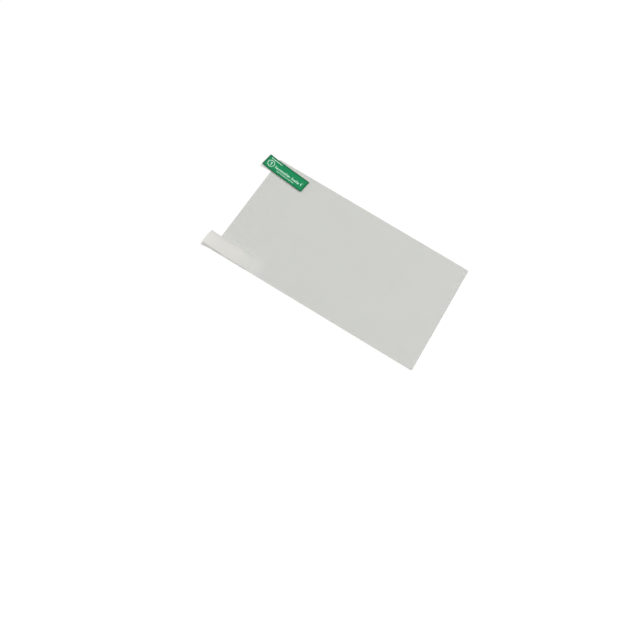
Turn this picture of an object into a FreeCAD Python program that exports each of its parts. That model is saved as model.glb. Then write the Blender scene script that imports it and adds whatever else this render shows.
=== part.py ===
import FreeCAD, Part
import os
import Sketcher

# Driving dimensions, in millimetres and degrees
DIMENSIONS = {
    "film_length": 112.0,
    "film_width": 63.0,
    "film_corner_radius": 0.8,
    "cover_film_thickness": 0.06,
    "protector_film_thickness": 0.18,
    "release_liner_thickness": 0.05,
    "tab_length": 25.0,
    "cover_tab_width": 8.6,
    "liner_tab_width": 7.6,
    "tab_thickness": 0.07,
    "tab_corner_radius": 0.6,
    "tab_overhang": 5.6,
    "tab_tip_lift": 0.6,
    "tab_relief_clearance": 0.3,
    "cover_tab_edge_inset": 0.1,
    "liner_tab_edge_distance": 4.8,
    "liner_tab_turn": 6.0,
}

SHEET_NAME = "Dimensions"
NAME_COLUMN = "A"
VALUE_COLUMN = "B"
EXPORT_FOLDER = "parts"
LENGTH_TOLERANCE = 1e-6

# Element numbers in a sketch: its own origin and vertical axis, then the points of a curve
ORIGIN, VERTICAL_AXIS = range(-1, -3, -1)
START, END, CENTRE = range(1, 4)

UP = FreeCAD.Vector(0.0, 0.0, 1.0)


def cell(name):
    """Names one dimension of the sheet inside an expression."""
    return "<<" + SHEET_NAME + ">>." + name


def make_sheet(document):
    """Writes every driving dimension to a row of the sheet, with its own alias."""
    sheet = document.addObject("Spreadsheet::Sheet", SHEET_NAME)
    sheet.Label = SHEET_NAME
    for row, (name, value) in enumerate(DIMENSIONS.items(), start=1):
        sheet.set(NAME_COLUMN + str(row), name)
        sheet.set(VALUE_COLUMN + str(row), str(value))
        sheet.setAlias(VALUE_COLUMN + str(row), name)
    document.recompute()


# Sizes that several pieces share, as expressions on the sheet
LEFT_EDGE = "-" + cell("film_length") + " / 2"
FRONT_EDGE = "-" + cell("film_width") + " / 2"
BACK_EDGE = cell("film_width") + " / 2"
COVER_TOP = cell("cover_film_thickness")
PROTECTOR_TOP = COVER_TOP + " + " + cell("protector_film_thickness")
LINER_TOP = PROTECTOR_TOP + " + " + cell("release_liner_thickness")
TAB_GRIP = cell("tab_length") + " - " + cell("tab_overhang")
COVER_TAB_FRONT = FRONT_EDGE + " + " + cell("cover_tab_edge_inset")
COVER_TAB_MIDDLE = COVER_TAB_FRONT + " + " + cell("cover_tab_width") + " / 2"


def make_body(document, name):
    """Starts one physical piece."""
    body = document.addObject("PartDesign::Body", name)
    body.Label = name
    return body


def make_sketch(body, name, plane):
    """Lays an empty sketch on one of the body's own origin planes."""
    sketch = body.newObject("Sketcher::SketchObject", name)
    support = [feature for feature in body.Origin.OriginFeatures if feature.Role == plane][0]
    sketch.AttachmentSupport = (support, [""])
    sketch.MapMode = "FlatFace"
    return sketch


def add_size(sketch, constraint, name, expression):
    """Adds a named size to a sketch and ties it to the sheet."""
    index = sketch.addConstraint(constraint)
    sketch.renameConstraint(index, name)
    sketch.setExpression("Constraints." + name, expression)


def draw_rectangle(sketch, left, right, front, back):
    """Draws a rectangle whose sides lie at the given distances from the sketch's origin."""
    unit = 1.0
    corners = [
        FreeCAD.Vector(-unit, -unit, 0.0),
        FreeCAD.Vector(unit, -unit, 0.0),
        FreeCAD.Vector(unit, unit, 0.0),
        FreeCAD.Vector(-unit, unit, 0.0),
    ]
    near_side, right_side, far_side, left_side = range(len(corners))
    for side, corner in enumerate(corners):
        sketch.addGeometry(Part.LineSegment(corner, corners[(side + 1) % len(corners)]), False)
    for side in range(len(corners)):
        following = (side + 1) % len(corners)
        sketch.addConstraint(Sketcher.Constraint("Coincident", side, END, following, START))
    for side in (near_side, far_side):
        sketch.addConstraint(Sketcher.Constraint("Horizontal", side))
    for side in (right_side, left_side):
        sketch.addConstraint(Sketcher.Constraint("Vertical", side))
    add_size(sketch, Sketcher.Constraint("DistanceX", near_side, START, ORIGIN, START, unit), "left", left)
    add_size(sketch, Sketcher.Constraint("DistanceX", ORIGIN, START, right_side, START, unit), "right", right)
    add_size(sketch, Sketcher.Constraint("DistanceY", near_side, START, ORIGIN, START, unit), "front", front)
    add_size(sketch, Sketcher.Constraint("DistanceY", ORIGIN, START, far_side, START, unit), "back", back)


def pad(body, sketch, name, length):
    """Raises a sketch to a solid by a length taken from the sheet."""
    feature = body.newObject("PartDesign::Pad", name)
    feature.Profile = sketch
    feature.setExpression("Length", length)
    return feature


def round_edges(body, base, name, edges, radius):
    """Rounds the named edges of a feature."""
    feature = body.newObject("PartDesign::Fillet", name)
    feature.Base = (base, edges)
    feature.setExpression("Radius", radius)


def edges_where(shape, test):
    """Names the edges of a shape that pass a test."""
    return ["Edge" + str(number) for number, edge in enumerate(shape.Edges, start=1) if test(edge)]


def is_upright(edge):
    """Tells whether an edge runs straight up."""
    span = edge.Vertexes[-1].Point - edge.Vertexes[0].Point
    return span.Length > LENGTH_TOLERANCE and span.cross(UP).Length < LENGTH_TOLERANCE


# Film layers: the same sheet with rounded corners three times, each one on top of the last
def make_film(document, name, thickness):
    """Makes one film layer with its underside on the body's own base plane."""
    body = make_body(document, name)
    outline = make_sketch(body, name + "_outline", "XY_Plane")
    half_length = cell("film_length") + " / 2"
    half_width = cell("film_width") + " / 2"
    draw_rectangle(outline, half_length, half_length, half_width, half_width)
    sheet = pad(body, outline, name + "_sheet", thickness)
    document.recompute()
    corners = edges_where(sheet.Shape, is_upright)
    round_edges(body, sheet, name + "_corners", corners, cell("film_corner_radius"))
    document.recompute()
    return body


# Relief in the protector's underside for the tab on the cover film, open at both edges of that corner
def relieve_for_tab(document, body):
    """Cuts the shallow relief and makes sure that it removes what it should."""
    whole = body.Shape.Volume
    outline = make_sketch(body, "tab_relief_outline", "XY_Plane")
    outline.setExpression("AttachmentOffset.Base.x", LEFT_EDGE)
    outline.setExpression("AttachmentOffset.Base.y", COVER_TAB_MIDDLE)
    clearance = cell("tab_relief_clearance")
    inward = TAB_GRIP + " + " + clearance
    half_across = cell("cover_tab_width") + " / 2 + " + clearance
    draw_rectangle(outline, clearance, inward, half_across, half_across)
    relief = body.newObject("PartDesign::Pocket", "tab_relief")
    relief.Profile = outline
    relief.setExpression("Length", cell("tab_thickness"))
    relief.Reversed = True
    document.recompute()

    margin = DIMENSIONS["tab_relief_clearance"]
    length = DIMENSIONS["tab_length"] - DIMENSIONS["tab_overhang"] + margin
    front_margin = min(margin, DIMENSIONS["cover_tab_edge_inset"])
    width = front_margin + DIMENSIONS["cover_tab_width"] + margin
    wanted = length * width * DIMENSIONS["tab_thickness"]
    corner_share = DIMENSIONS["film_corner_radius"] ** 2 * DIMENSIONS["tab_thickness"]
    removed = whole - relief.Shape.Volume
    if abs(removed - wanted) > corner_share:
        raise RuntimeError("the relief for the tab removes " + str(removed) + " instead of " + str(wanted))


def arc_between(centre, start, end):
    """Gives the short arc about a centre from one point to another at the same distance."""
    middle = (start + end) / 2 - centre
    middle.normalize()
    return Part.Arc(start, centre + middle * (start - centre).Length, end)


def draw_tab_side_view(sketch):
    """Draws the strip from the side: a flat grip, and a free end that rises tangentially to its tip."""
    thickness = DIMENSIONS["tab_thickness"]
    reach = DIMENSIONS["tab_overhang"]
    lift = DIMENSIONS["tab_tip_lift"]
    grip = DIMENSIONS["tab_length"] - reach
    bend_radius = (reach**2 + lift**2) / (2 * lift)
    centre = FreeCAD.Vector(0.0, bend_radius, 0.0)
    bend_low = FreeCAD.Vector(0.0, 0.0, 0.0)
    bend_high = FreeCAD.Vector(0.0, thickness, 0.0)
    end_low = FreeCAD.Vector(grip, 0.0, 0.0)
    end_high = FreeCAD.Vector(grip, thickness, 0.0)
    tip_low = FreeCAD.Vector(-reach, lift, 0.0)
    tip_high = centre + (tip_low - centre) * ((bend_radius - thickness) / bend_radius)

    underside = sketch.addGeometry(Part.LineSegment(bend_low, end_low), False)
    inner_end = sketch.addGeometry(Part.LineSegment(end_low, end_high), False)
    top = sketch.addGeometry(Part.LineSegment(end_high, bend_high), False)
    top_bend = sketch.addGeometry(arc_between(centre, tip_high, bend_high), False)
    tip = sketch.addGeometry(Part.LineSegment(tip_high, tip_low), False)
    low_bend = sketch.addGeometry(arc_between(centre, tip_low, bend_low), False)

    joins = [
        (underside, START, ORIGIN, START),
        (underside, END, inner_end, START),
        (inner_end, END, top, START),
        (top, END, top_bend, END),
        (top_bend, START, tip, START),
        (tip, END, low_bend, START),
        (low_bend, END, underside, START),
        (low_bend, CENTRE, top_bend, CENTRE),
    ]
    for join in joins:
        sketch.addConstraint(Sketcher.Constraint("Coincident", *join))
    for line in (underside, top):
        sketch.addConstraint(Sketcher.Constraint("Horizontal", line))
    sketch.addConstraint(Sketcher.Constraint("Vertical", inner_end))
    sketch.addConstraint(Sketcher.Constraint("PointOnObject", top, END, VERTICAL_AXIS))
    sketch.addConstraint(Sketcher.Constraint("PointOnObject", low_bend, CENTRE, VERTICAL_AXIS))
    sketch.addConstraint(Sketcher.Constraint("PointOnObject", low_bend, CENTRE, tip))

    sizes = {
        "grip": (("DistanceX", underside, START, underside, END, grip), TAB_GRIP),
        "thickness": (("DistanceY", inner_end, START, inner_end, END, thickness), cell("tab_thickness")),
        "reach": (("DistanceX", low_bend, START, ORIGIN, START, reach), cell("tab_overhang")),
        "lift": (("DistanceY", ORIGIN, START, low_bend, START, lift), cell("tab_tip_lift")),
    }
    for name, (constraint, expression) in sizes.items():
        add_size(sketch, Sketcher.Constraint(*constraint), name, expression)


# Pull tabs: a strip that lies flat on the film and lifts gently where it overhangs the edge
def make_tab(document, name, width):
    """Makes one pull tab; its origin is the bend line of the underside, with the free end towards -X."""
    body = make_body(document, name)
    side_view = make_sketch(body, name + "_side_view", "XZ_Plane")
    draw_tab_side_view(side_view)
    strip = pad(body, side_view, name + "_strip", width)
    strip.SideType = "Symmetric"
    document.recompute()
    thickness = DIMENSIONS["tab_thickness"]
    corners = edges_where(strip.Shape, lambda edge: abs(edge.Length - thickness) < LENGTH_TOLERANCE)
    round_edges(body, strip, name + "_corners", corners, cell("tab_corner_radius"))
    document.recompute()
    return body


def place(body, **expressions):
    """Ties the place of a piece along the named axes to the sheet."""
    for axis, expression in expressions.items():
        body.setExpression("Placement.Base." + axis, expression)


document = FreeCAD.newDocument("screen_protector")
make_sheet(document)

cover_film = make_film(document, "cover_film", cell("cover_film_thickness"))

protector_film = make_film(document, "protector_film", cell("protector_film_thickness"))
relieve_for_tab(document, protector_film)
place(protector_film, z=COVER_TOP)

release_liner = make_film(document, "release_liner", cell("release_liner_thickness"))
place(release_liner, z=PROTECTOR_TOP)

# The cover film's tab lies along the front edge, between the cover film and the protector
cover_pull_tab = make_tab(document, "cover_pull_tab", cell("cover_tab_width"))
place(cover_pull_tab, x=LEFT_EDGE, y=COVER_TAB_MIDDLE, z=COVER_TOP)

# The liner's tab lies on top near the back edge, a little turned
liner_pull_tab = make_tab(document, "liner_pull_tab", cell("liner_tab_width"))
liner_tab_middle = BACK_EDGE + " - " + cell("liner_tab_edge_distance")
place(liner_pull_tab, x=LEFT_EDGE, y=liner_tab_middle, z=LINER_TOP)
liner_pull_tab.Placement.Rotation = FreeCAD.Rotation(UP, -DIMENSIONS["liner_tab_turn"])
liner_pull_tab.setExpression("Placement.Rotation.Angle", "-" + cell("liner_tab_turn"))

document.recompute()

# Every feature must have rebuilt cleanly before anything is written
for item in document.Objects:
    if "Invalid" in item.State or "Error" in item.State:
        raise RuntimeError(item.Name + " did not rebuild: " + str(item.State))

pieces = (cover_film, protector_film, release_liner, cover_pull_tab, liner_pull_tab)
for piece in pieces:
    if piece.Shape.isNull() or not piece.Shape.isValid():
        raise RuntimeError(piece.Label + " is not a valid solid")

os.makedirs(EXPORT_FOLDER, exist_ok=True)
for piece in pieces:
    piece.Shape.exportStep(os.path.join(EXPORT_FOLDER, piece.Label + ".step"))
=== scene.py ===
"""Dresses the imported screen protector: three film layers and two pull tabs on a white table."""

import logging
import math
from dataclasses import dataclass, field
from enum import Enum, IntEnum
from typing import Sequence, Union

import bpy
import numpy as np
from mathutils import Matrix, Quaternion, Vector


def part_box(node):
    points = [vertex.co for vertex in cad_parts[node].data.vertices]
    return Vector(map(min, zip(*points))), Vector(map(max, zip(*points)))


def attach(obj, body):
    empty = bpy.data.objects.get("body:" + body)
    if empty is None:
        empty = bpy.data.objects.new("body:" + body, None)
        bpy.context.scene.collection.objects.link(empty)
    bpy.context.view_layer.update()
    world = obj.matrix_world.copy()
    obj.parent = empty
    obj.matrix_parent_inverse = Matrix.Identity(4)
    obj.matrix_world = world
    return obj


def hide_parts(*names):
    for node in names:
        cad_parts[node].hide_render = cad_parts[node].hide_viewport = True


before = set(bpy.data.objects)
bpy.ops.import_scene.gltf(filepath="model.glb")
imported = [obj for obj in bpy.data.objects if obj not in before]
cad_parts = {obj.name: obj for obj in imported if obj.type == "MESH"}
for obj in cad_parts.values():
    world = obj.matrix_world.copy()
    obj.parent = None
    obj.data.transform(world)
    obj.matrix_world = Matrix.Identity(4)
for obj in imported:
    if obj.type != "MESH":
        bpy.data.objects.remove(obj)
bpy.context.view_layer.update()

LOG = logging.getLogger("screen_protector")
BODY = "root"
MM = 0.001
UV_NAME = "flat_place"

# Faces that meet at more than this angle keep a sharp edge between them
SHARP_ANGLE = math.radians(35.0)

# Inner grid lines stay this many corner radii away from a sheet's edge
CORNER_ROOM = 1.5

# Middle of the random mottling, which runs from 0 to 1
MOTTLE_MIDDLE = 0.5

# Layer Weight's blend at which Facing is 1 less the cosine of the slant
COSINE_BLEND = 0.5

# Settings of a Map Range node that eases from 0 to 1
SMOOTH_STEP = {"interpolation_type": "SMOOTHSTEP", "clamp": True}

Array = np.ndarray
Material = bpy.types.Material
Socket = bpy.types.NodeSocket
Pair = tuple[float, float]
Triple = tuple[float, float, float]
Colour = Triple

BLACK: Colour = (0.0, 0.0, 0.0)
WHITE: Colour = (1.0, 1.0, 1.0)


class Side(IntEnum):
    """The three kinds of face that a thin closed sheet has."""

    TOP = 0
    WALL = 1
    UNDERSIDE = 2


class Slot(Enum):
    """The record's material slots."""

    HAZY_FILM = "hazy_film"
    CLEAR_FILM = "clear_film"
    CLEAR_LINER = "clear_liner"
    PALE_LABEL = "pale_label"
    GREEN_LABEL = "green_label"


class MixSocket(IntEnum):
    """Socket numbers of a Mix node that blends colours."""

    FACTOR = 0
    FIRST = 6
    SECOND = 7
    RESULT = 2


# Surfaces


@dataclass
class Surface:
    """A closed thin skin held as arrays.

    Attributes:
        points: Corner points in metres, one row each.
        faces: Four point numbers a face, anticlockwise seen from outside.
        sides: The kind of each face, as a Side number.
        flat: Where each point lies on the flat sheet, from 0 to 1 both ways.
    """

    points: Array
    faces: Array
    sides: Array
    flat: Array


def smooth_step(value: Array) -> Array:
    """Eases 0 to 1 without a corner: the cubic 3t^2 - 2t^3 of the value held between 0 and 1."""
    held = np.clip(value, 0.0, 1.0)
    return held * held * (3.0 - 2.0 * held)


def rounded_grid(
    halves: Pair, corner: float, inner: Sequence[Array], corner_lines: int = 7
) -> tuple[Array, Array]:
    """Lays a grid on a sheet with round corners.

    Lines run evenly through the corner's radius at each end, and follow the given inner lines between. In
    each corner patch, with a and b the shares of the radius past its centre, a point then moves to
    a * sqrt(1 - b^2 / 2) and b * sqrt(1 - a^2 / 2), which carries the patch's square edge to a quarter
    circle.

    Args:
        halves: Half of the sheet's length and half of its width.
        corner: Its corner radius.
        inner: Lines wanted between the corners, along the sheet and across it.
        corner_lines: Lines through each corner's radius.

    Returns:
        The grid's x and y, as two arrays with a row for each line along.
    """
    lines = []
    for half, wanted in zip(halves, inner):
        end = np.linspace(half - corner, half, corner_lines)
        between = wanted[np.abs(wanted) < half - CORNER_ROOM * corner]
        lines.append(np.unique(np.concatenate([-end, between, end])))
    x, y = np.meshgrid(*lines, indexing="ij")
    core_x, core_y = halves[0] - corner, halves[1] - corner
    a = np.maximum(np.abs(x) - core_x, 0.0) / corner
    b = np.maximum(np.abs(y) - core_y, 0.0) / corner
    round_x = np.minimum(np.abs(x), core_x) + corner * a * np.sqrt(1.0 - b * b / 2.0)
    round_y = np.minimum(np.abs(y), core_y) + corner * b * np.sqrt(1.0 - a * a / 2.0)
    return np.copysign(round_x, x), np.copysign(round_y, y)


def closed_sheet(low: Array, high: Array, flat: Array, ring: bool = False) -> Surface:
    """Closes an upper and a lower grid of points with walls round their edge.

    Args:
        low: Points of the underside, a grid of rows of three.
        high: Points of the top, on the same grid.
        flat: The flat place of each grid point.
        ring: True if the grid's first direction runs round and meets itself.

    Returns:
        The closed skin, facing outwards.
    """
    rows, columns = high.shape[:2]
    top = np.arange(rows * columns).reshape(rows, columns)
    if ring:
        top = np.vstack([top, top[:1]])
    corners = [top[:-1, :-1], top[1:, :-1], top[1:, 1:], top[:-1, 1:]]
    quads = np.stack(corners, axis=-1).reshape(-1, 4)
    if ring:
        edges = [top[:, 0], top[::-1, -1]]
    else:
        edges = [np.concatenate([top[:-1, 0], top[-1, :-1], top[:0:-1, -1], top[0, ::-1]])]
    below = rows * columns
    walls = np.concatenate(
        [np.stack([edge[:-1] + below, edge[1:] + below, edge[1:], edge[:-1]], axis=-1) for edge in edges]
    )
    return Surface(
        points=np.concatenate([high.reshape(-1, 3), low.reshape(-1, 3)]),
        faces=np.concatenate([quads, walls, quads[:, ::-1] + below]),
        sides=np.repeat([Side.TOP, Side.WALL, Side.UNDERSIDE], [len(quads), len(walls), len(quads)]),
        flat=np.tile(flat.reshape(-1, 2), (2, 1)),
    )


def join(surfaces: Sequence[Surface]) -> Surface:
    """Puts several skins into one, each keeping its own points.

    Args:
        surfaces: The skins, in order.

    Returns:
        The one skin, whose point numbers go on from skin to skin.
    """
    starts = np.cumsum([0] + [len(surface.points) for surface in surfaces[:-1]])
    return Surface(
        points=np.concatenate([surface.points for surface in surfaces]),
        faces=np.concatenate([surface.faces + start for surface, start in zip(surfaces, starts)]),
        sides=np.concatenate([surface.sides for surface in surfaces]),
        flat=np.concatenate([surface.flat for surface in surfaces]),
    )


def flat_places(x: Array, y: Array) -> Array:
    """Scales a grid's own x and y to run from 0 to 1, as rows of two."""
    return np.stack([(way - way.min()) / np.ptp(way) for way in (x, y)], axis=-1)


def add_piece(
    name: str,
    surface: Surface,
    finishes: Sequence[Material],
    finish_of_side: tuple[int, int, int] = (0, 0, 0),
) -> bpy.types.Object:
    """Makes a piece of the object from a skin, at the origin, riding on the part's one body.

    Args:
        name: The piece's name.
        surface: Its skin.
        finishes: Its materials.
        finish_of_side: Which of them the top, the walls and the underside take.

    Returns:
        The new object.
    """
    mesh = bpy.data.meshes.new(name)
    mesh.from_pydata(surface.points, [], surface.faces)
    for finish in finishes:
        mesh.materials.append(finish)
    finish_numbers = np.asarray(finish_of_side, np.int32)[surface.sides]
    mesh.polygons.foreach_set("material_index", finish_numbers)
    mesh.polygons.foreach_set("use_smooth", np.ones(len(surface.faces), bool))
    corner_points = np.empty(len(mesh.loops), np.int32)
    mesh.loops.foreach_get("vertex_index", corner_points)
    layer = mesh.uv_layers.new(name=UV_NAME)
    layer.data.foreach_set("uv", surface.flat[corner_points].astype(np.float32).ravel())
    mesh.update(calc_edges=True)
    mesh.set_sharp_from_angle(angle=SHARP_ANGLE)
    piece = bpy.data.objects.new(name, mesh)
    bpy.context.scene.collection.objects.link(piece)
    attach(piece, BODY)
    LOG.info("made %s with %d faces", name, len(surface.faces))
    return piece


# Shader maths


class Signal:
    """A number that varies over a surface: one shader socket, with arithmetic."""

    def __init__(self, shader: "Shader", socket: Socket) -> None:
        """Wraps a socket of the given shader."""
        self.shader = shader
        self.socket = socket

    def _math(self, operation: str, *values: "Value") -> "Signal":
        """Adds a Math node on the given values."""
        return self.shader.signal("ShaderNodeMath", {"operation": operation}, dict(enumerate(values)))

    def __add__(self, other: "Value") -> "Signal":
        """Adds."""
        return self._math("ADD", self, other)

    def __radd__(self, other: "Value") -> "Signal":
        """Adds to a number."""
        return self._math("ADD", other, self)

    def __sub__(self, other: "Value") -> "Signal":
        """Subtracts."""
        return self._math("SUBTRACT", self, other)

    def __rsub__(self, other: "Value") -> "Signal":
        """Subtracts from a number."""
        return self._math("SUBTRACT", other, self)

    def __mul__(self, other: "Value") -> "Signal":
        """Multiplies."""
        return self._math("MULTIPLY", self, other)

    def __rmul__(self, other: "Value") -> "Signal":
        """Multiplies a number."""
        return self._math("MULTIPLY", other, self)

    def __pow__(self, other: "Value") -> "Signal":
        """Raises to a power."""
        return self._math("POWER", self, other)

    def __abs__(self) -> "Signal":
        """Drops the sign."""
        return self._math("ABSOLUTE", self)

    def at_least(self, other: "Value") -> "Signal":
        """Takes the larger of the two."""
        return self._math("MAXIMUM", self, other)

    def at_most(self, other: "Value") -> "Signal":
        """Takes the smaller of the two."""
        return self._math("MINIMUM", self, other)

    def mixed(self, other: "Signal", share: float = 0.5) -> "Signal":
        """Takes a share of this number and the rest from another."""
        return share * self + (1.0 - share) * other

    def varied(self, level: float, spread: float) -> "Signal":
        """Turns mottling into a number that varies round a level, by the spread from end to end."""
        return level + spread * (self - MOTTLE_MIDDLE)

    def eased(self, start: float, end: float) -> "Signal":
        """Eases from 0 at the start value to 1 at the end value, with a smooth step."""
        inputs = {"Value": self, "From Min": start, "From Max": end}
        return self.shader.signal("ShaderNodeMapRange", SMOOTH_STEP, inputs, "Result")


Value = Union[Signal, Socket, float, Sequence[float]]
Settings = dict[str, object]
Inputs = dict[Union[str, int], Value]


@dataclass(frozen=True)
class Grain:
    """Soft random mottling.

    Attributes:
        size: The size of its patches.
        detail: How many finer layers it has.
        length: How many times longer the patches are along the part than across it.
        depth: The depth of its relief.
    """

    size: float
    detail: float = 2.0
    length: float = 1.0
    depth: float = 0.0

    @property
    def scale(self) -> Triple:
        """Patches to the metre along each axis."""
        return 1.0 / (self.size * self.length), 1.0 / self.size, 1.0 / self.size


class Shader:
    """The node tree of one material or of the world, with one method for every kind of node."""

    def __init__(self, owner: Union[Material, bpy.types.World]) -> None:
        """Empties the owner's node tree.

        Args:
            owner: The material or world that the nodes belong to.
        """
        self.owner = owner
        owner.use_nodes = True
        self.tree = owner.node_tree
        self.tree.nodes.clear()

    @classmethod
    def of_material(cls, name: str) -> "Shader":
        """Starts a new material of the given name."""
        return cls(bpy.data.materials.new(name))

    def node(self, kind: str, settings: Settings, inputs: Inputs) -> bpy.types.Node:
        """Adds a node.

        Args:
            kind: The node's type.
            settings: Its own properties, which are set first.
            inputs: Values or links for its sockets, by name or number.

        Returns:
            The new node.
        """
        node = self.tree.nodes.new(kind)
        for name, setting in settings.items():
            setattr(node, name, setting)
        for name, value in inputs.items():
            socket = node.inputs[name]
            source = value.socket if isinstance(value, Signal) else value
            if isinstance(source, Socket):
                self.tree.links.new(source, socket)
            else:
                socket.default_value = source
        return node

    def signal(self, kind: str, settings: Settings, inputs: Inputs, output: Union[str, int] = 0) -> Signal:
        """Adds a node and gives one of its outputs as a number."""
        return Signal(self, self.node(kind, settings, inputs).outputs[output])

    def position(self) -> Socket:
        """Gives the place on the object, in metres."""
        return self.node("ShaderNodeTexCoord", {}, {}).outputs["Object"]

    def axes(self, vector: Socket) -> tuple[Signal, Signal, Signal]:
        """Splits a vector into its three numbers."""
        outputs = self.node("ShaderNodeSeparateXYZ", {}, {"Vector": vector}).outputs
        return Signal(self, outputs[0]), Signal(self, outputs[1]), Signal(self, outputs[2])

    def flat_place(self, size: Pair) -> tuple[Signal, Signal]:
        """Gives the distances along and across a flat sheet of the given size, from its first corner."""
        along, across, _ = self.axes(self.node("ShaderNodeUVMap", {"uv_map": UV_NAME}, {}).outputs[0])
        return along * size[0], across * size[1]

    def noise(self, grain: Grain) -> Signal:
        """Gives random mottling between 0 and 1, fixed to the object."""
        place = self.node("ShaderNodeMapping", {}, {"Vector": self.position(), "Scale": grain.scale})
        return self.signal(
            "ShaderNodeTexNoise", {}, {"Vector": place.outputs[0], "Scale": 1.0, "Detail": grain.detail}
        )

    def blend(self, factor: Value, first: Value, second: Value) -> Socket:
        """Blends two colours: all of the first at factor 0, all of the second at 1."""
        inputs = {MixSocket.FACTOR: factor, MixSocket.FIRST: first, MixSocket.SECOND: second}
        return self.node("ShaderNodeMix", {"data_type": "RGBA"}, inputs).outputs[MixSocket.RESULT]

    def mottled(self, colour: Colour, spread: float, mottle: Signal) -> Socket:
        """Makes a colour darker and lighter by a share of itself, as the mottling goes from 0 to 1."""
        dark, light = scaled(colour, 1.0 - spread), scaled(colour, 1.0 + spread)
        return self.blend(mottle, opaque(dark), opaque(light))

    def bump(self, height: Signal, depth: float) -> Socket:
        """Turns a height from 0 to 1 into a normal, for relief of the given depth in metres."""
        inputs = {"Height": height, "Distance": depth, "Strength": 1.0}
        return self.node("ShaderNodeBump", {}, inputs).outputs[0]

    def principled(self, **inputs: Value) -> Material:
        """Ends the material in one Principled shader.

        Args:
            **inputs: Its sockets, with underscores for the spaces in their names.

        Returns:
            The finished material.
        """
        named = {name.replace("_", " "): value for name, value in inputs.items()}
        shader = self.node("ShaderNodeBsdfPrincipled", {}, named)
        self.node("ShaderNodeOutputMaterial", {}, {"Surface": shader.outputs[0]})
        return self.owner

    def seen(self) -> Signal:
        """Tells what the camera sees, straight, mirrored or through a clear film, from plain light.

        Returns:
            1 for what is seen and 0 for plain light.
        """
        path = self.node("ShaderNodeLightPath", {}, {}).outputs
        names = ("Is Camera Ray", "Is Glossy Ray", "Is Transmission Ray")
        straight, mirrored, through = (Signal(self, path[name]) for name in names)
        return straight.at_least(mirrored).at_least(through)


def opaque(colour: Colour) -> tuple[float, float, float, float]:
    """Adds full opacity to a colour."""
    return (*colour, 1.0)


def scaled(colour: Colour, factor: float) -> Colour:
    """Makes a colour lighter or darker by a factor."""
    red, green, blue = colour
    return red * factor, green * factor, blue * factor


# Finishes


@dataclass(frozen=True)
class HazyFinish:
    """Hazy grey masking film: even haze, faint streaks along it, clearer where the tab holds it off.

    Attributes:
        air_centre: Middle of the line along the tab, which holds the films apart.
        air_half: Half of that line's length.
        air_reach: How far past the line's ends the films stay apart.
        air_gain: How much of the haze is lost there.
        air_narrowing: How many times shorter that reach is across the tab.
        colour: The haze's colour.
        spread: How much its tone varies either way.
        solidity: How much of what lies behind it each face hides.
        roughness: Its mean roughness, and how much that varies with the grain.
        streaks: The drawn film's fine streaks.
        cloud: Its broad cloudiness.
        grain: Its matt surface.
    """

    air_centre: Pair
    air_half: float
    air_reach: float = 12.0 * MM
    air_gain: float = 0.28
    air_narrowing: float = 1.2
    colour: Colour = (0.72, 0.729, 0.686)
    spread: float = 0.03
    solidity: float = 0.46
    roughness: Pair = (0.5, 0.15)
    streaks: Grain = Grain(0.9 * MM, detail=3.0, length=60.0)
    cloud: Grain = Grain(24.0 * MM)
    grain: Grain = Grain(0.12 * MM, detail=3.0, depth=0.004 * MM)

    def material(self) -> Material:
        """Builds the finish; the air eases away with the distance from the line along the tab.

        Returns:
            The finished material.
        """
        shader = Shader.of_material("hazy_film")
        x, y, _ = shader.axes(shader.position())
        past_x = (abs(x - self.air_centre[0]) - self.air_half).at_least(0.0)
        past_y = (y - self.air_centre[1]) * self.air_narrowing
        distance = (past_x * past_x + past_y * past_y) ** 0.5
        air = 1.0 - distance.eased(0.0, self.air_reach)
        mottle = shader.noise(self.streaks).mixed(shader.noise(self.cloud))
        grain = shader.noise(self.grain)
        return shader.principled(
            Base_Color=shader.mottled(self.colour, self.spread, mottle),
            Roughness=grain.varied(*self.roughness),
            Alpha=self.solidity * (1.0 - self.air_gain * air),
            Normal=shader.bump(grain, self.grain.depth),
        )


@dataclass(frozen=True)
class ClearFinish:
    """Clear polished film: a mirror skin that strengthens at low angles, over a trace of haze.

    Attributes:
        name: The material's name.
        colour: The colour of what it reflects or, where it is bonded, of its haze.
        roughness: Its mean roughness, and how much that varies with the rubbing.
        mirror: Reflection of each face seen square on; none for a face bonded to the next film.
        grazing: Reflection seen along the face.
        steepness: The power of the slant with which the reflection rises.
        haze: Share of each face that shows at any angle, and how much that varies with the swirls.
        swirl: Broad flow marks in the film.
        swirl_shade: How light the colour is in them.
        rubbing: Fine rubbed lines along the film.
    """

    name: str
    colour: Colour
    roughness: Pair
    mirror: float
    grazing: float
    steepness: float = 5.0
    haze: Pair = (0.003, 0.0012)
    swirl: Grain = Grain(14.0 * MM, length=3.0, depth=0.02 * MM)
    swirl_shade: float = 0.985
    rubbing: Grain = Grain(0.35 * MM, detail=3.0, length=25.0)

    def material(self) -> Material:
        """Builds the finish; reflection rises with a power of 1 less the cosine of the slant.

        Returns:
            The finished material.
        """
        shader = Shader.of_material(self.name)
        slant = shader.signal("ShaderNodeLayerWeight", {}, {"Blend": COSINE_BLEND}, "Facing")
        reflection = self.mirror + (self.grazing - self.mirror) * slant**self.steepness
        swirl = shader.noise(self.swirl)
        shade = opaque(scaled(self.colour, self.swirl_shade))
        return shader.principled(
            Base_Color=shader.blend(swirl, shade, opaque(self.colour)),
            Metallic=1.0 if self.mirror else 0.0,
            Roughness=shader.noise(self.rubbing).varied(*self.roughness),
            Alpha=reflection + swirl.varied(*self.haze),
            Normal=shader.bump(swirl, self.swirl.depth),
        )


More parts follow.
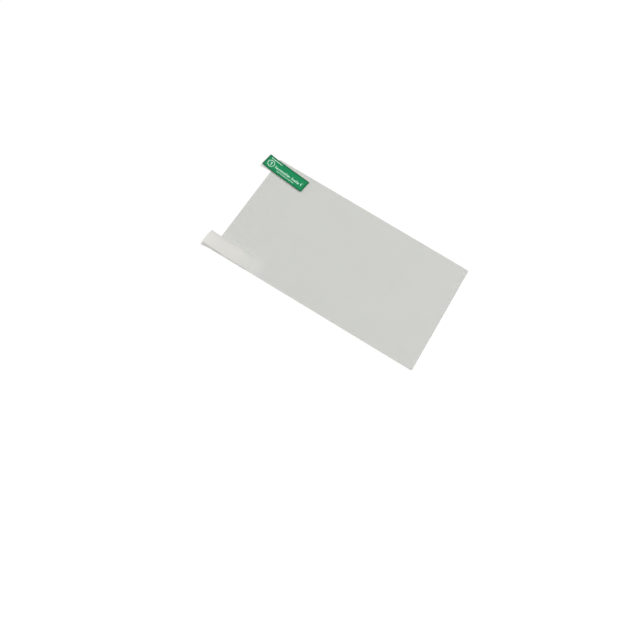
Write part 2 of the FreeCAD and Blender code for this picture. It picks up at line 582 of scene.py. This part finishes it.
@dataclass(frozen=True)
class PaperFinish:
    """Uncoated label paper: pale, matt, with fine fibres and a soft cloudiness.

    Attributes:
        name: The material's name.
        colour: Its mean colour.
        spread: How much its tone varies either way.
        roughness: Its mean roughness, and how much that varies with the fibres.
        gloss: The strength of its reflection.
        fibres: The paper's fibres.
        fibre_share: Their share of the mottling.
        cloud: The rest of it.
    """

    name: str
    colour: Colour
    spread: float = 0.035
    roughness: Pair = (0.82, 0.1)
    gloss: float = 0.5
    fibres: Grain = Grain(0.11 * MM, detail=4.0, length=5.0, depth=0.012 * MM)
    fibre_share: float = 0.6
    cloud: Grain = Grain(1.6 * MM)

    def toned(self, shader: Shader, paper: Socket) -> Socket:
        """Gives the paper's colour as it is seen: the same all over."""
        return paper

    def material(self) -> Material:
        """Builds the finish.

        Returns:
            The finished material.
        """
        shader = Shader.of_material(self.name)
        fibres = shader.noise(self.fibres)
        mottle = fibres.mixed(shader.noise(self.cloud), self.fibre_share)
        return shader.principled(
            Base_Color=self.toned(shader, shader.mottled(self.colour, self.spread, mottle)),
            Roughness=fibres.varied(*self.roughness),
            Specular_IOR_Level=self.gloss,
            Normal=shader.bump(fibres, self.fibres.depth),
        )


@dataclass(frozen=True)
class BackedPaperWithShadowFinish(PaperFinish):
    """Label paper with a bare grey margin along its front edge, darkened near the lifted tip by painted
    shadow, soaked by adhesive at its inner end.

    Attributes:
        size: The label's length and width.
        margin: From where to where, in from the front edge, the grey margin and its painted shadow pass
            into the paper.
        shadowed_margin_tone: How light the margin is near the tip, against the paper: its own grey
            darkened by painted shadow of the lifted tip.
        margin_rest: How much of its darkness is left towards the inner end, the backing's own grey without
            the painted shadow.
        shadow_run: Between which distances from the tip the painted shadow fades out.
        back_reach: How far in from the back edge the paper thins.
        back_tone: How light it is at that edge.
        soak_start: Where the soaked part begins, from the tip.
        soak_colour: The paper's colour at its inner end.
    """

    name: str = "pale_label"
    colour: Colour = (0.735, 0.72, 0.685)
    size: Pair = field(kw_only=True)
    margin: Pair = (0.6 * MM, 1.1 * MM)
    shadowed_margin_tone: float = 0.76
    margin_rest: float = 0.4
    shadow_run: Pair = (7.5 * MM, 12.5 * MM)
    back_reach: float = 3.0 * MM
    back_tone: float = 0.89
    soak_start: float = 15.0 * MM
    soak_colour: Colour = (0.683, 0.69, 0.648)

    def toned(self, shader: Shader, paper: Socket) -> Socket:
        """Gives the paper's colour as it is seen: darker in the margin, with painted shadow of the lifted
        tip near the tip, and where it is soaked.

        Args:
            shader: The material's nodes.
            paper: The plain paper's colour.

        Returns:
            The toned colour, blended up from black by the tone.
        """
        length, width = self.size
        from_tip, from_front = shader.flat_place(self.size)
        soaked = shader.blend(from_tip.eased(self.soak_start, length), paper, opaque(self.soak_colour))
        # Front margin: the backing's own grey, plus painted shadow of the lifted tip that is darkest at
        # the tip and fades along the run.
        margin = 1.0 - from_front.eased(*self.margin)
        shadow_and_backing = margin * (1.0 - (1.0 - self.margin_rest) * from_tip.eased(*self.shadow_run))
        past_back = (from_front - (width - self.back_reach)) * (1.0 / self.back_reach)
        thinned = past_back.at_least(0.0) ** 2.0
        tone = (1.0 - (1.0 - self.shadowed_margin_tone) * shadow_and_backing) * (1.0 - (1.0 - self.back_tone) * thinned)
        return shader.blend(tone, opaque(BLACK), soaked)


@dataclass(frozen=True)
class PrintedFinish(PaperFinish):
    """Green ink on label paper: satin, slightly mottled, darker where it gathers along the cut edge.

    Attributes:
        size: The label's length and width.
        edge_shade: How light the ink is at the very edge, against the rest.
        edge_reach: How far in from the edge the darker ink reaches.
    """

    name: str = "green_label"
    colour: Colour = (0.004, 0.25, 0.092)
    spread: float = 0.08
    roughness: Pair = (0.45, 0.12)
    gloss: float = 0.18
    fibres: Grain = Grain(0.16 * MM, detail=4.0, depth=0.006 * MM)
    fibre_share: float = 0.5
    cloud: Grain = Grain(2.2 * MM)
    size: Pair = field(kw_only=True)
    edge_shade: float = 0.5
    edge_reach: float = 1.4 * MM

    def toned(self, shader: Shader, paper: Socket) -> Socket:
        """Gives the ink's colour as it is seen: it eases in with the distance from the nearest edge.

        Args:
            shader: The material's nodes.
            paper: The inked paper's colour.

        Returns:
            The toned colour.
        """
        length, width = self.size
        along, across = shader.flat_place(self.size)
        from_end = along.at_most(length - along)
        from_side = across.at_most(width - across)
        inside = from_end.at_most(from_side).eased(0.0, self.edge_reach)
        return shader.blend(inside, opaque(scaled(self.colour, self.edge_shade)), paper)


BONDED_FILM = ClearFinish("clear_film", (0.9, 0.9, 0.885), (0.2, 0.05), mirror=0.0, grazing=0.0)
POLISHED_LINER = ClearFinish("clear_liner", (0.97, 0.97, 0.96), (0.1, 0.05), mirror=0.02, grazing=0.5)
LABEL_CORE = PaperFinish("label_core", (0.8, 0.8, 0.78))
WHITE_INK = PaperFinish("white_ink", (0.64, 0.9, 0.75), spread=0.02, roughness=(0.5, 0.1))


# Films and labels


@dataclass
class TabStrip:
    """A pull tab: flat on the film, rising tangentially to its tip where it overhangs.

    Attributes:
        seat: Where the middle of the bend line lies, on the face that carries the tab.
        turn: The tab's turn about the upright axis, in radians.
        length: Its length, from the free end's tip to the inner end.
        width: Its width.
        overhang: How much of its length is past the bend line.
        lift: How far the tip's underside rises.
        thickness: The label's thickness.
        corner: Its corner radius.
        clearance: A hair's breadth under the label that keeps the faces apart.
        spacing: Distance between its grid lines, along it and across it.
    """

    seat: Vector
    turn: float
    length: float
    width: float
    overhang: float
    lift: float
    thickness: float = 0.066 * MM
    corner: float = 0.6 * MM
    clearance: float = 0.003 * MM
    spacing: Pair = (0.35 * MM, 0.7 * MM)

    def rise(self, along: Array) -> Array:
        """Height of the underside over its seat: R - sqrt(R^2 - reach^2) past the bend, 0 before it.

        Args:
            along: Distance from the tip.

        Returns:
            The height, in metres.
        """
        radius = (self.overhang**2 + self.lift**2) / (2.0 * self.lift)
        reach = np.clip(self.overhang - along, 0.0, radius)
        return radius - np.sqrt(radius**2 - reach**2)

    def placed(self, along: Array, across: Array, height: Array) -> Array:
        """Carries places on the label into the part's frame: a turn about the seat, and the bend's rise.

        Args:
            along: Distance from the tip.
            across: Distance from the middle line.
            height: Height over the label's underside.

        Returns:
            Points, as rows of three.
        """
        inward = along - self.overhang
        cosine, sine = math.cos(self.turn), math.sin(self.turn)
        x = self.seat.x + cosine * inward - sine * across
        y = self.seat.y + sine * inward + cosine * across
        z = self.seat.z + self.clearance + self.rise(along) + height
        return np.stack([x, y, z], axis=-1)

    def surface(self) -> Surface:
        """Builds the label's skin: a grid with round corners, bent along its length.

        Returns:
            The closed skin.
        """
        halves = (self.length / 2, self.width / 2)
        inner = [np.arange(-half, half, step) for half, step in zip(halves, self.spacing)]
        x, y = rounded_grid(halves, self.corner, inner)
        along = x + self.length / 2
        low = self.placed(along, y, np.zeros_like(x))
        high = self.placed(along, y, np.full_like(x, self.thickness))
        return closed_sheet(low, high, flat_places(x, y))


@dataclass
class FilmStack:
    """The three film layers, one on the other, with the cover film's tab between the lower two.

    Attributes:
        tab: The tab that holds the upper films off the lowest one.
        corner: The films' corner radius.
        bond: The hair's breadth between neighbouring films.
        trim: How far each film's cut edge stands in from the one below.
        ramp: Over what distance past the tab the upper films come down again.
        ramp_lines: Grid lines over that distance.
        spacing: Distance between grid lines elsewhere.
        ripple: Height of the films' gentle waviness.
        ripple_waves: Its two waves: their lengths along and across the films, and their shift in radians.
        names: The films' nodes, from the lowest up.
    """

    tab: TabStrip
    corner: float = 0.8 * MM
    bond: float = 0.004 * MM
    trim: float = 0.02 * MM
    ramp: float = 1.6 * MM
    ramp_lines: int = 9
    spacing: float = 1.6 * MM
    ripple: float = 0.02 * MM
    ripple_waves: tuple[Triple, Triple] = ((61.0 * MM, 141.0 * MM, 0.0), (-244.0 * MM, 47.0 * MM, 0.8))
    names: tuple[str, str, str] = ("cover_film", "protector_film", "release_liner")

    @property
    def tab_end(self) -> float:
        """Where the tab's inner end lies along the films."""
        return self.tab.seat.x + self.tab.length - self.tab.overhang

    def over_tab(self, x: Array, y: Array) -> Array:
        """Share of the tab's thickness by which the films rise: a smooth step of the distance past it.

        Args:
            x: Places along the films.
            y: Places across them.

        Returns:
            1 over the tab, easing to 0 past its edges.
        """
        past_side = np.maximum(np.abs(y - self.tab.seat.y) - self.tab.width / 2, 0.0)
        past = np.hypot(np.maximum(x - self.tab_end, 0.0), past_side)
        return smooth_step(1.0 - past / self.ramp)

    def waves(self, x: Array, y: Array) -> Array:
        """Gentle waviness: the sum of two long crossed sines, which dies away towards the tabs.

        Args:
            x: Places along the films.
            y: Places across them.

        Returns:
            The waves' height, from 0 to 1.
        """
        long_wave, cross_wave = (
            np.sin(2.0 * np.pi * (x / along + y / across) + shift)
            for along, across, shift in self.ripple_waves
        )
        free = smooth_step((x - self.tab_end) / self.tab.length)
        return free * (2.0 + long_wave + cross_wave) / 4.0

    def layer(self, number: int) -> Surface:
        """Builds one film's skin: a grid with round corners, lifted over the tab and faintly wavy.

        Args:
            number: 0 for the lowest film, which lies flat on the table under the tab, 2 for the highest.

        Returns:
            The closed skin.
        """
        low_corner, high_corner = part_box(self.names[number])
        inset = number * self.trim
        halves = (high_corner.x - inset, high_corner.y - inset)
        even_x, even_y = (np.arange(-half, half, self.spacing) for half in halves)
        past_end = np.linspace(0.0, self.ramp, self.ramp_lines)
        past_side = self.tab.width / 2 + past_end
        inner_x = np.concatenate([even_x, self.tab_end + past_end])
        inner_y = np.concatenate([even_y, self.tab.seat.y - past_side, self.tab.seat.y + past_side])
        x, y = rounded_grid(halves, self.corner, (inner_x, inner_y))
        rise = self.ripple * self.waves(x, y)
        low = np.zeros_like(x)
        if number:
            rise += (self.tab.thickness + self.bond) * self.over_tab(x, y)
            low = low_corner.z + self.bond / 2 + rise
        high = high_corner.z - self.bond / 2 + rise
        return closed_sheet(np.stack([x, y, low], -1), np.stack([x, y, high], -1), flat_places(x, y))


# Print


class Mark(Enum):
    """Simple shapes of the print's main row, each with its room along the row, in millimetres."""

    TALL = 0.7
    SHORT = 0.68
    RING = 1.36
    SPACE = 0.9


TALL, SHORT, RING, SPACE = Mark
MAIN_ROW = (
    TALL, RING, SHORT, SHORT, RING, SHORT, RING, TALL, RING, SHORT, SPACE,
    TALL, SHORT, RING, TALL, RING,
)


@dataclass(frozen=True)
class BarRow:
    """A row of printed bars: its start from the tip, middle line, height, and lengths in millimetres."""

    start: float
    middle: float
    height: float
    lengths: tuple[float, ...]


HEADING = BarRow(1.7 * MM, 2.6 * MM, 0.5 * MM, (0.8, 0.5, 0.9, 0.6, 0.8, 0.7, 0.5))
LOWER_LINE = BarRow(8.2 * MM, -2.1 * MM, 0.3 * MM, (1.9, 1.1, 2.4, 0.9, 1.6, 1.3))


@dataclass
class TabPrint:
    """White print on the green tab: a ringed number, rows of plain marks and bars, and an arrowhead.

    Attributes:
        tab: The tab that carries the print.
        ink: The ink's thickness.
        sunk: How far the ink's underside lies in the label.
        ring_centre: Middle of the number's ring, from the tip and from the label's middle line.
        ring_radius: Its outer radius.
        ring_stroke: Its line's width, and the arrowhead's.
        ring_points: Points round it, and round each small ring of the main row.
        digit_size: The number's height and its line's width.
        flag_reach: How far its flag reaches back and down, in halves of that width.
        flag_stroke: The flag's width, as a share of that line's.
        mark_base: Where the main row begins, and the line on which its marks stand.
        mark_heights: Heights of the tall and the short marks.
        mark_stroke: Width of their lines.
        gap: Room between the bars of a row.
        bar_corner: A bar's corner radius, as a share of its smaller side.
        bar_lines: Grid lines along a bar and across it.
        corner_lines: Grid lines through each of its corners.
        stroke_lines: Grid lines across a stroke.
        arrow_tip: Where the arrowhead's tip lies.
        arrow_size: Its length and its half width.
    """

    tab: TabStrip
    ink: float = 0.012 * MM
    sunk: float = 0.002 * MM
    ring_centre: Pair = (3.35 * MM, -0.25 * MM)
    ring_radius: float = 1.95 * MM
    ring_stroke: float = 0.3 * MM
    ring_points: tuple[int, int] = (72, 32)
    digit_size: Pair = (1.9 * MM, 0.38 * MM)
    flag_reach: Pair = (2.6, 2.0)
    flag_stroke: float = 0.85
    mark_base: Pair = (6.3 * MM, -1.15 * MM)
    mark_heights: Pair = (1.6 * MM, 1.05 * MM)
    mark_stroke: float = 0.34 * MM
    gap: float = 0.3 * MM
    bar_corner: float = 0.22
    bar_lines: tuple[int, int] = (9, 3)
    corner_lines: int = 4
    stroke_lines: int = 3
    arrow_tip: Pair = (22.1 * MM, -0.1 * MM)
    arrow_size: Pair = (0.75 * MM, 0.85 * MM)

    def skin(self, along: Array, across: Array, ring: bool = False) -> Surface:
        """Lays a grid of places on the label as a thin layer of ink.

        Args:
            along: Distance from the tip, on a grid.
            across: Distance from the middle line, on the same grid.
            ring: True if the grid runs round and meets itself.

        Returns:
            The ink's closed skin.
        """
        face = np.full_like(along, self.tab.thickness)
        low = self.tab.placed(along, across, face - self.sunk)
        high = self.tab.placed(along, across, face + self.ink)
        return closed_sheet(low, high, flat_places(along, across), ring)

    def bar(self, start: float, length: float, middle: float, height: float) -> Surface:
        """Builds a bar with round corners: a rounded grid moved to its place on the label.

        Args:
            start: Where it begins, from the tip.
            length: Its length along the label.
            middle: Its middle line, across the label.
            height: Its size across the label.

        Returns:
            The bar's skin.
        """
        corner = self.bar_corner * min(length, height)
        halves = (length / 2, height / 2)
        inner = [np.linspace(-half, half, lines) for half, lines in zip(halves, self.bar_lines)]
        x, y = rounded_grid(halves, corner, inner, self.corner_lines)
        return self.skin(start + length / 2 + x, middle + y)

    def stroke(self, path: Array, width: float) -> Surface:
        """Carries a straight profile of the given width along a path, mitred at its bends.

        Args:
            path: The path's points on the label, a row each.
            width: The stroke's width.

        Returns:
            The stroke's skin.
        """
        ways = np.diff(path, axis=0)
        ways /= np.linalg.norm(ways, axis=1, keepdims=True)
        normals = np.stack([ways[:, 1], -ways[:, 0]], axis=-1)
        before = np.concatenate([normals[:1], normals])
        after = np.concatenate([normals, normals[-1:]])
        mitre = before + after
        mitre *= width / np.sum(mitre * before, axis=1, keepdims=True)
        shares = np.linspace(0.5, -0.5, self.stroke_lines)
        grid = path[:, None, :] + mitre[:, None, :] * shares[None, :, None]
        return self.skin(grid[..., 0], grid[..., 1])

    def ring(self, centre: Pair, radius: float, stroke: float, points: int) -> Surface:
        """Builds a ring: circles from the outer radius to the inner one.

        Args:
            centre: Its middle, from the tip and from the label's middle line.
            radius: Its outer radius.
            stroke: Its line's width.
            points: Points round each circle.

        Returns:
            The ring's skin.
        """
        angle = np.linspace(0.0, 2.0 * np.pi, points, endpoint=False)[:, None]
        radii = np.linspace(radius, radius - stroke, self.stroke_lines)[None, :]
        return self.skin(centre[0] + radii * np.cos(angle), centre[1] + radii * np.sin(angle), ring=True)

    def digit(self) -> Surface:
        """Builds the figure 1: an upright stem and a short flag that meets its head.

        Returns:
            The figure as one skin.
        """
        x, y = self.ring_centre
        height, width = self.digit_size
        half, side = height / 2, width / 2
        back, down = self.flag_reach
        stem = np.array([(x + side, y - half), (x + side, y + half)])
        flag_top = np.array((x, y + half - side))
        flag = np.array([flag_top + (-back * side, -down * side), flag_top])
        return join([self.stroke(stem, width), self.stroke(flag, self.flag_stroke * width)])

    def marks(self, kinds: Sequence[Mark]) -> Surface:
        """Builds the main row: upright strokes and small rings that stand on one line.

        Args:
            kinds: The shapes, in order from the tip.

        Returns:
            The row as one skin.
        """
        start, base = self.mark_base
        tall, short = self.mark_heights
        radius = short / 2
        starts = start + MM * np.cumsum([0.0] + [kind.value for kind in kinds[:-1]])
        shapes = []
        for kind, at in zip(kinds, starts):
            if kind is RING:
                centre = (at + radius, base + radius)
                shapes.append(self.ring(centre, radius, self.mark_stroke, self.ring_points[1]))
            elif kind is not SPACE:
                height = tall if kind is TALL else short
                shapes.append(self.bar(at, self.mark_stroke, base + height / 2, height))
        return join(shapes)

    def bars(self, row: BarRow) -> Surface:
        """Builds a row of bars one after the other.

        Args:
            row: The row's place and sizes.

        Returns:
            The row as one skin.
        """
        lengths = [length * MM for length in row.lengths]
        starts = row.start + np.cumsum([0.0] + [length + self.gap for length in lengths[:-1]])
        return join([self.bar(at, length, row.middle, row.height) for at, length in zip(starts, lengths)])

    def arrow(self) -> Surface:
        """Builds the arrowhead that points at the free end, the way the tab is pulled."""
        tip, (reach, rise) = np.array(self.arrow_tip), self.arrow_size
        return self.stroke(np.array([(reach, rise), (0.0, 0.0), (reach, -rise)]) + tip, self.ring_stroke)

    def pieces(self) -> dict[str, Surface]:
        """Builds every printed piece.

        Returns:
            The pieces' skins by name.
        """
        large_ring = self.ring(self.ring_centre, self.ring_radius, self.ring_stroke, self.ring_points[0])
        return {
            "print_ring": large_ring,
            "print_digit": self.digit(),
            "print_heading": self.bars(HEADING),
            "print_marks": self.marks(MAIN_ROW),
            "print_line": self.bars(LOWER_LINE),
            "print_arrow": self.arrow(),
        }


# Studio


@dataclass(frozen=True)
class Studio:
    """A white table under even light, with one broad soft lamp far behind, and the photograph's camera.

    Attributes:
        sky: Level of the even light; with the lamp it makes about 1 on a level surface.
        lamp: Level of the lamp on a level surface.
        lamp_angles: The lamp's direction from +X round to +Y, and its height, in degrees.
        lamp_breadth: How broad it looks from the part, in degrees.
        table_colour: How much of the light the table gives back.
        table_gain: How much brighter than white the bare table is seen, to stay white all over.
        table_level: The table's height, a hair's breadth under the part.
        table_half: Half of the table's width.
        camera_at: Where the camera stands.
        camera_aim: What its axis meets at the height of the part's top.
        roll: The camera's turn about its axis, in degrees.
        lens: Its focal length and its sensor's width, in millimetres.
        nearest: The distance from which it sees things.
        clear_faces: How many see-through faces light may cross.
    """

    sky: float = 0.64
    lamp: float = 0.335
    lamp_angles: Pair = (66.0, 36.0)
    lamp_breadth: float = 23.0
    table_colour: float = 0.93
    table_gain: float = 0.05
    table_level: float = -0.02 * MM
    table_half: float = 8.0
    camera_at: Triple = (34.24 * MM, -172.69 * MM, 326.86 * MM)
    camera_aim: Triple = (6.69 * MM, -33.75 * MM, 0.29 * MM)
    roll: float = 20.93
    lens: Pair = (42.23, 36.0)
    nearest: float = 1.0 * MM
    clear_faces: int = 32

    def add_table(self) -> None:
        """Lays the table: a white plane that keeps shadows and looks white where it has none."""
        half = self.table_half
        corners = [(-half, -half), (half, -half), (half, half), (-half, half)]
        mesh = bpy.data.meshes.new("table")
        mesh.from_pydata([(x, y, self.table_level) for x, y in corners], [], [(0, 1, 2, 3)])
        table = bpy.data.objects.new("table", mesh)
        shader = Shader.of_material("table")
        white = opaque(scaled(WHITE, self.table_colour))
        matt = shader.node("ShaderNodeBsdfDiffuse", {}, {"Color": white})
        rest = (1.0 + self.table_gain - self.table_colour) * shader.seen()
        glow = shader.node("ShaderNodeEmission", {}, {"Strength": rest})
        both = shader.node("ShaderNodeAddShader", {}, {0: matt.outputs[0], 1: glow.outputs[0]})
        shader.node("ShaderNodeOutputMaterial", {}, {"Surface": both.outputs[0]})
        mesh.materials.append(shader.owner)
        bpy.context.scene.collection.objects.link(table)

    def add_light(self) -> None:
        """Sets the sky and the lamp; the lamp's strength follows from its level and slant."""
        sky = Shader(bpy.data.worlds.new("studio"))
        level = self.sky + (1.0 - self.sky) * sky.seen()
        background = sky.node("ShaderNodeBackground", {}, {"Color": opaque(WHITE), "Strength": level})
        sky.node("ShaderNodeOutputWorld", {}, {"Surface": background.outputs[0]})
        bpy.context.scene.world = sky.owner

        round_angle, height = (math.radians(angle) for angle in self.lamp_angles)
        level_way = Vector((math.cos(round_angle), math.sin(round_angle), 0.0)) * math.cos(height)
        place = level_way + Vector((0.0, 0.0, math.sin(height)))
        lamp = bpy.data.lights.new("soft_lamp", "SUN")
        lamp.angle = math.radians(self.lamp_breadth)
        lamp.energy = math.pi * self.lamp / math.sin(height)
        holder = bpy.data.objects.new("soft_lamp", lamp)
        holder.location = place
        holder.rotation_mode = "QUATERNION"
        holder.rotation_quaternion = (-place).to_track_quat("-Z", "Y")
        bpy.context.scene.collection.objects.link(holder)

    def add_camera(self) -> None:
        """Stands the camera where the photograph was taken from."""
        lens = bpy.data.cameras.new("camera")
        lens.lens, lens.sensor_width = self.lens
        lens.clip_start = self.nearest
        camera = bpy.data.objects.new("camera", lens)
        camera.location = Vector(self.camera_at)
        way = Vector(self.camera_aim) - Vector(self.camera_at)
        camera.rotation_mode = "QUATERNION"
        roll = Quaternion((0.0, 0.0, 1.0), math.radians(self.roll))
        camera.rotation_quaternion = way.to_track_quat("-Z", "Y") @ roll
        bpy.context.scene.collection.objects.link(camera)
        bpy.context.scene.camera = camera

    def build(self) -> None:
        """Sets up the table, the light, the camera and the plain view transform."""
        self.add_table()
        self.add_light()
        self.add_camera()
        bpy.context.scene.view_settings.view_transform = "Standard"
        bpy.context.scene.cycles.transparent_max_bounces = self.clear_faces


# The part


@dataclass
class ScreenProtector:
    """The whole part: film stack, two pull tabs and the print on one of them.

    Attributes:
        liner_turn: The liner tab's turn about the upright axis, in radians.
        liner_tab_width: That tab's width, which its turned box doesn't give.
        label_room: How much of a tab's height its own thickness and clearances take.
    """

    liner_turn: float = math.radians(-6.0)
    liner_tab_width: float = 7.6 * MM
    label_room: float = 0.075 * MM

    def tabs(self) -> tuple[TabStrip, TabStrip]:
        """Reads both tabs' sizes and places from the frame.

        Returns:
            The cover film's tab, then the liner's.
        """
        film_low, film_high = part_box("cover_film")
        _, liner_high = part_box("release_liner")
        cover_low, cover_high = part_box("cover_pull_tab")
        turned_low, turned_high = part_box("liner_pull_tab")
        length = cover_high.x - cover_low.x
        width = cover_high.y - cover_low.y
        overhang = film_low.x - cover_low.x
        lift = cover_high.z - cover_low.z - self.label_room
        cover_seat = Vector((film_low.x, (cover_low.y + cover_high.y) / 2, film_high.z))
        middle = (turned_low + turned_high) / 2
        past_bend = film_low.x - middle.x
        liner_seat = Vector((film_low.x, middle.y + math.tan(self.liner_turn) * past_bend, liner_high.z))
        cover = TabStrip(cover_seat, 0.0, length, width, overhang, lift)
        liner = TabStrip(liner_seat, self.liner_turn, length, self.liner_tab_width, overhang, lift)
        return cover, liner

    def add_films(self, tab: TabStrip) -> None:
        """Builds and dresses the three films.

        Args:
            tab: The tab between the lower two.
        """
        half_grip = (tab.length - tab.overhang) / 2
        hazy = HazyFinish((tab.seat.x + half_grip, tab.seat.y), half_grip)
        stack = FilmStack(tab)
        finishes = (hazy, BONDED_FILM, POLISHED_LINER)
        slots = (Slot.HAZY_FILM, Slot.CLEAR_FILM, Slot.CLEAR_LINER)
        for number, (node, finish, slot) in enumerate(zip(stack.names, finishes, slots)):
            piece = add_piece(node + "_sheet", stack.layer(number), [finish.material()])
            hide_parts(node)

    def add_tabs(self, cover: TabStrip, liner: TabStrip) -> None:
        """Builds and dresses the pale tab and the printed green tab.

        Args:
            cover: The cover film's tab.
            liner: The liner's tab, which carries the print.
        """
        pale = BackedPaperWithShadowFinish(size=(cover.length, cover.width)).material()
        piece = add_piece("cover_pull_tab_label", cover.surface(), [pale])
        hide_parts("cover_pull_tab")
        green = PrintedFinish(size=(liner.length, liner.width)).material()
        papers = [green, LABEL_CORE.material()]
        piece = add_piece("liner_pull_tab_label", liner.surface(), papers, (0, 1, 1))
        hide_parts("liner_pull_tab")
        ink = WHITE_INK.material()
        for name, surface in TabPrint(liner).pieces().items():
            add_piece(name, surface, [ink])

    def build(self) -> None:
        """Builds every piece of the part."""
        cover, liner = self.tabs()
        self.add_films(cover)
        self.add_tabs(cover, liner)


def main() -> None:
    """Builds the part and the studio."""
    logging.basicConfig(level=logging.INFO, format="%(name)s: %(message)s")
    ScreenProtector().build()
    Studio().build()


if __name__ == "__main__":
    main()
